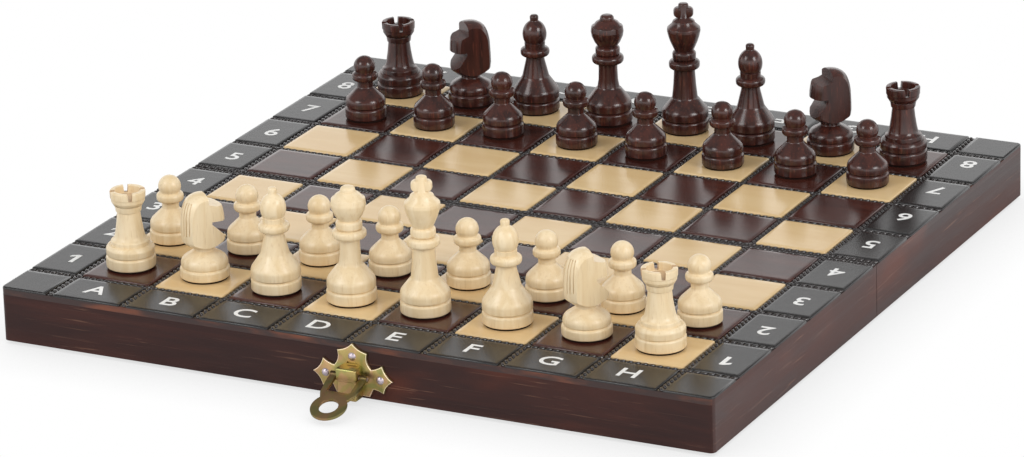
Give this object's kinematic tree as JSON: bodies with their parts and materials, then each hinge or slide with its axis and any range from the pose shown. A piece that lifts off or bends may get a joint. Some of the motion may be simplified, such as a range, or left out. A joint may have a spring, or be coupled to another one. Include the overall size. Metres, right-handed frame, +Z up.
{
  "type": "chess box with hinged lid",
  "caption": "Folding wooden chess box opened flat as a board, with hinges, a hasp latch, and a full set of turned chessmen standing on their squares.",
  "frame": {"origin": "on the table, under the middle of the seam between the two trays, in the plane of their rims", "axes": "+X from the a-file to the h-file, +Y from rank 1 to rank 8, +Z up, out of the playing surface"},
  "size_m": [0.28, 0.3115, 0.0723],
  "materials": {
    "stained_wood": "satin dark stain",
    "lacquered_board": "gloss lacquer, in near black, dark brown and pale beige",
    "felt_lining": "short felt",
    "brass": "satin, yellow passivated",
    "steel": "satin",
    "boxwood": "satin varnish",
    "mahogany_stain": "gloss varnish over a dark red-brown stain"
  },
  "bodies": {
    "base": {"base_front_wall": "stained_wood", "base_hinge_wall": "stained_wood", "base_left_wall": "stained_wood", "base_right_wall": "stained_wood", "base_deck": "lacquered_board", "base_lining": "felt_lining", "hinge_left_base_leaf": "brass", "hinge_right_base_leaf": "brass", "hinge_left_pin": "steel", "hinge_right_pin": "steel", "base_hinge_nails": "brass", "latch_plate": "brass", "latch_pin": "steel", "latch_nails": "steel"},
    "lid": {"lid_rear_wall": "stained_wood", "lid_hinge_wall": "stained_wood", "lid_left_wall": "stained_wood", "lid_right_wall": "stained_wood", "lid_deck": "lacquered_board", "lid_lining": "felt_lining", "hinge_left_lid_leaf": "brass", "hinge_right_lid_leaf": "brass", "lid_hinge_nails": "brass", "catch_plate": "brass", "catch_nails": "steel"},
    "hasp": {"latch_hasp": "brass"},
    "white_rook_a": {"white_rook_a": "boxwood"},
    "white_knight_b": {"white_knight_b": "boxwood"},
    "white_bishop_c": {"white_bishop_c": "boxwood"},
    "white_queen": {"white_queen": "boxwood"},
    "white_king": {"white_king": "boxwood"},
    "white_bishop_f": {"white_bishop_f": "boxwood"},
    "white_knight_g": {"white_knight_g": "boxwood"},
    "white_rook_h": {"white_rook_h": "boxwood"},
    "white_pawn_a": {"white_pawn_a": "boxwood"},
    "white_pawn_b": {"white_pawn_b": "boxwood"},
    "white_pawn_c": {"white_pawn_c": "boxwood"},
    "white_pawn_d": {"white_pawn_d": "boxwood"},
    "white_pawn_e": {"white_pawn_e": "boxwood"},
    "white_pawn_f": {"white_pawn_f": "boxwood"},
    "white_pawn_g": {"white_pawn_g": "boxwood"},
    "white_pawn_h": {"white_pawn_h": "boxwood"},
    "black_pawn_a": {"black_pawn_a": "mahogany_stain"},
    "black_pawn_b": {"black_pawn_b": "mahogany_stain"},
    "black_pawn_c": {"black_pawn_c": "mahogany_stain"},
    "black_pawn_d": {"black_pawn_d": "mahogany_stain"},
    "black_pawn_e": {"black_pawn_e": "mahogany_stain"},
    "black_pawn_f": {"black_pawn_f": "mahogany_stain"},
    "black_pawn_g": {"black_pawn_g": "mahogany_stain"},
    "black_pawn_h": {"black_pawn_h": "mahogany_stain"},
    "black_rook_a": {"black_rook_a": "mahogany_stain"},
    "black_knight_b": {"black_knight_b": "mahogany_stain"},
    "black_bishop_c": {"black_bishop_c": "mahogany_stain"},
    "black_queen": {"black_queen": "mahogany_stain"},
    "black_king": {"black_king": "mahogany_stain"},
    "black_bishop_f": {"black_bishop_f": "mahogany_stain"},
    "black_knight_g": {"black_knight_g": "mahogany_stain"},
    "black_rook_h": {"black_rook_h": "mahogany_stain"}
  },
  "joints": [
    {"name": "fold_lid", "type": "hinge", "parent": "base", "child": "lid", "pos_m": [0, 0, -0.00015], "axis": [-1, 0, 0], "range_deg": [0, 180]},
    {"name": "hasp_swing", "type": "hinge", "parent": "base", "child": "hasp", "pos_m": [0.0026, -0.1435, 0.0086], "axis": [1, 0, 0], "range_deg": [-100, 70]},
    {"name": "lift_white_rook_a", "type": "slide", "parent": "base", "child": "white_rook_a", "axis": [0, 0, 1], "range_m": [0, 0.06]},
    {"name": "lift_white_knight_b", "type": "slide", "parent": "base", "child": "white_knight_b", "axis": [0, 0, 1], "range_m": [0, 0.06]},
    {"name": "lift_white_bishop_c", "type": "slide", "parent": "base", "child": "white_bishop_c", "axis": [0, 0, 1], "range_m": [0, 0.06]},
    {"name": "lift_white_queen", "type": "slide", "parent": "base", "child": "white_queen", "axis": [0, 0, 1], "range_m": [0, 0.06]},
    {"name": "lift_white_king", "type": "slide", "parent": "base", "child": "white_king", "axis": [0, 0, 1], "range_m": [0, 0.06]},
    {"name": "lift_white_bishop_f", "type": "slide", "parent": "base", "child": "white_bishop_f", "axis": [0, 0, 1], "range_m": [0, 0.06]},
    {"name": "lift_white_knight_g", "type": "slide", "parent": "base", "child": "white_knight_g", "axis": [0, 0, 1], "range_m": [0, 0.06]},
    {"name": "lift_white_rook_h", "type": "slide", "parent": "base", "child": "white_rook_h", "axis": [0, 0, 1], "range_m": [0, 0.06]},
    {"name": "lift_white_pawn_a", "type": "slide", "parent": "base", "child": "white_pawn_a", "axis": [0, 0, 1], "range_m": [0, 0.06]},
    {"name": "lift_white_pawn_b", "type": "slide", "parent": "base", "child": "white_pawn_b", "axis": [0, 0, 1], "range_m": [0, 0.06]},
    {"name": "lift_white_pawn_c", "type": "slide", "parent": "base", "child": "white_pawn_c", "axis": [0, 0, 1], "range_m": [0, 0.06]},
    {"name": "lift_white_pawn_d", "type": "slide", "parent": "base", "child": "white_pawn_d", "axis": [0, 0, 1], "range_m": [0, 0.06]},
    {"name": "lift_white_pawn_e", "type": "slide", "parent": "base", "child": "white_pawn_e", "axis": [0, 0, 1], "range_m": [0, 0.06]},
    {"name": "lift_white_pawn_f", "type": "slide", "parent": "base", "child": "white_pawn_f", "axis": [0, 0, 1], "range_m": [0, 0.06]},
    {"name": "lift_white_pawn_g", "type": "slide", "parent": "base", "child": "white_pawn_g", "axis": [0, 0, 1], "range_m": [0, 0.06]},
    {"name": "lift_white_pawn_h", "type": "slide", "parent": "base", "child": "white_pawn_h", "axis": [0, 0, 1], "range_m": [0, 0.06]},
    {"name": "lift_black_pawn_a", "type": "slide", "parent": "lid", "child": "black_pawn_a", "axis": [0, 0, 1], "range_m": [0, 0.06]},
    {"name": "lift_black_pawn_b", "type": "slide", "parent": "lid", "child": "black_pawn_b", "axis": [0, 0, 1], "range_m": [0, 0.06]},
    {"name": "lift_black_pawn_c", "type": "slide", "parent": "lid", "child": "black_pawn_c", "axis": [0, 0, 1], "range_m": [0, 0.06]},
    {"name": "lift_black_pawn_d", "type": "slide", "parent": "lid", "child": "black_pawn_d", "axis": [0, 0, 1], "range_m": [0, 0.06]},
    {"name": "lift_black_pawn_e", "type": "slide", "parent": "lid", "child": "black_pawn_e", "axis": [0, 0, 1], "range_m": [0, 0.06]},
    {"name": "lift_black_pawn_f", "type": "slide", "parent": "lid", "child": "black_pawn_f", "axis": [0, 0, 1], "range_m": [0, 0.06]},
    {"name": "lift_black_pawn_g", "type": "slide", "parent": "lid", "child": "black_pawn_g", "axis": [0, 0, 1], "range_m": [0, 0.06]},
    {"name": "lift_black_pawn_h", "type": "slide", "parent": "lid", "child": "black_pawn_h", "axis": [0, 0, 1], "range_m": [0, 0.06]},
    {"name": "lift_black_rook_a", "type": "slide", "parent": "lid", "child": "black_rook_a", "axis": [0, 0, 1], "range_m": [0, 0.06]},
    {"name": "lift_black_knight_b", "type": "slide", "parent": "lid", "child": "black_knight_b", "axis": [0, 0, 1], "range_m": [0, 0.06]},
    {"name": "lift_black_bishop_c", "type": "slide", "parent": "lid", "child": "black_bishop_c", "axis": [0, 0, 1], "range_m": [0, 0.06]},
    {"name": "lift_black_queen", "type": "slide", "parent": "lid", "child": "black_queen", "axis": [0, 0, 1], "range_m": [0, 0.06]},
    {"name": "lift_black_king", "type": "slide", "parent": "lid", "child": "black_king", "axis": [0, 0, 1], "range_m": [0, 0.06]},
    {"name": "lift_black_bishop_f", "type": "slide", "parent": "lid", "child": "black_bishop_f", "axis": [0, 0, 1], "range_m": [0, 0.06]},
    {"name": "lift_black_knight_g", "type": "slide", "parent": "lid", "child": "black_knight_g", "axis": [0, 0, 1], "range_m": [0, 0.06]},
    {"name": "lift_black_rook_h", "type": "slide", "parent": "lid", "child": "black_rook_h", "axis": [0, 0, 1], "range_m": [0, 0.06]}
  ]
}
